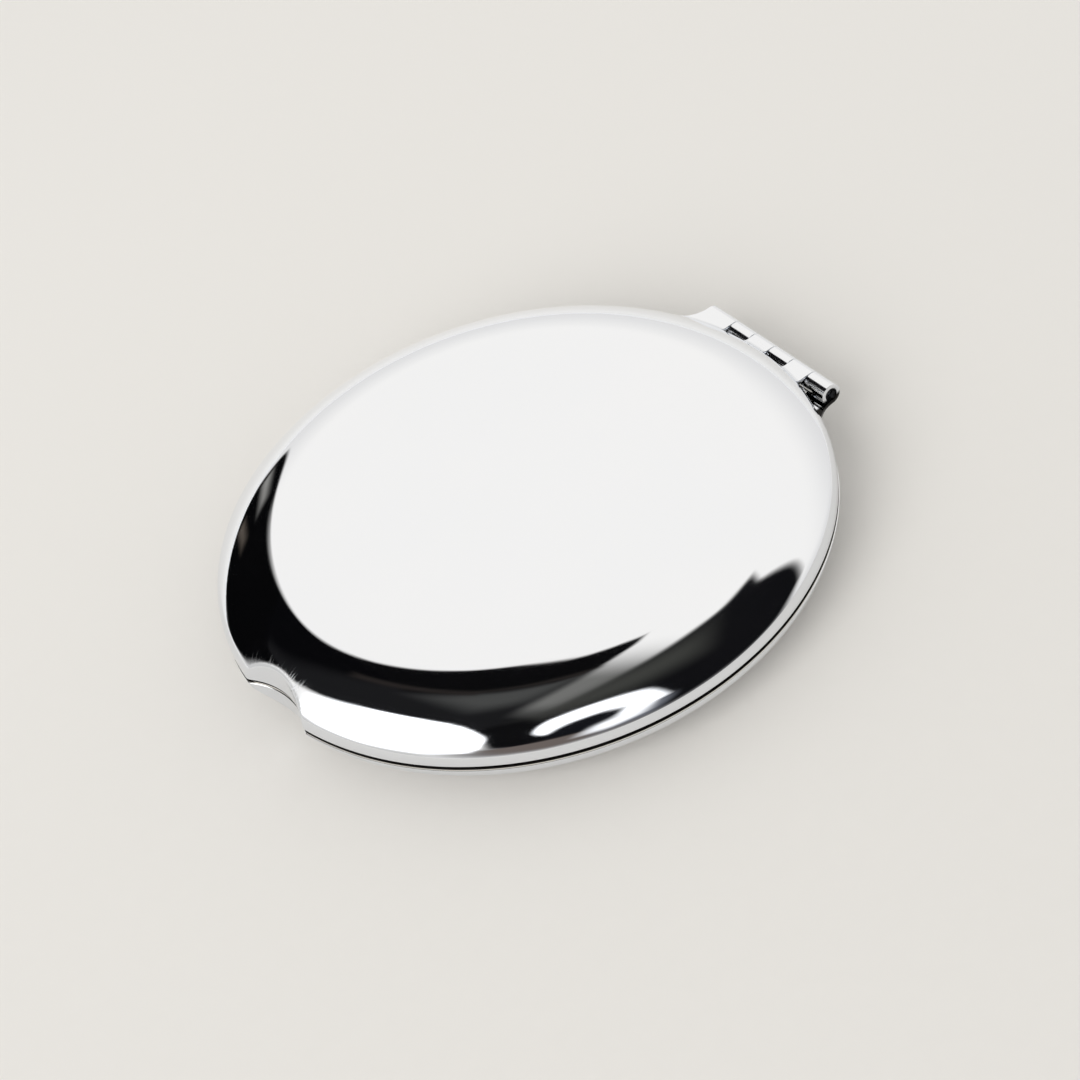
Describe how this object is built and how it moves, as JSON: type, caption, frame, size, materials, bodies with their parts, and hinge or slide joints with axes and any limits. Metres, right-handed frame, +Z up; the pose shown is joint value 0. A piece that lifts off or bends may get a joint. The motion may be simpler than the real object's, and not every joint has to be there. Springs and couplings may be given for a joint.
{
  "type": "compact mirror",
  "caption": "Closed round pocket mirror in a polished metal case with a thumb notch, and a rolled hinge opposite that opens to show a plain and a magnifying mirror.",
  "frame": {"origin": "middle of the flat rest face under the base", "axes": "+Z up through the lid, +Y towards the hinge, -Y towards the thumb notch, +X along the hinge pin"},
  "size_m": [0.066, 0.0676, 0.0116],
  "materials": {
    "chromed_shell": "bright chrome plate on pressed steel, mirror polished",
    "bright_frame": "bright nickel plate on pressed steel",
    "silvered_glass": "silvered glass with ground edges",
    "foam_pad": "closed-cell foam tape, matte",
    "greyboard": "grey recycled board, matte",
    "adhesive_sheet": "double-sided adhesive film",
    "steel_pin": "drawn steel wire, cut ends"
  },
  "bodies": {
    "base": {"base_shell": "chromed_shell", "base_frame": "bright_frame", "base_mirror": "silvered_glass", "base_pad": "foam_pad", "base_board": "greyboard", "base_adhesive": "adhesive_sheet", "hinge_pin": "steel_pin"},
    "lid": {"lid_shell": "chromed_shell", "lid_frame": "bright_frame", "lid_mirror": "silvered_glass", "lid_pad": "foam_pad", "lid_board": "greyboard", "lid_adhesive": "adhesive_sheet"}
  },
  "joints": [
    {"name": "lid_hinge", "type": "hinge", "parent": "base", "child": "lid", "pos_m": [0, 0.0338, 0.0058], "axis": [-1, 0, 0], "range_deg": [0, 180]}
  ]
}
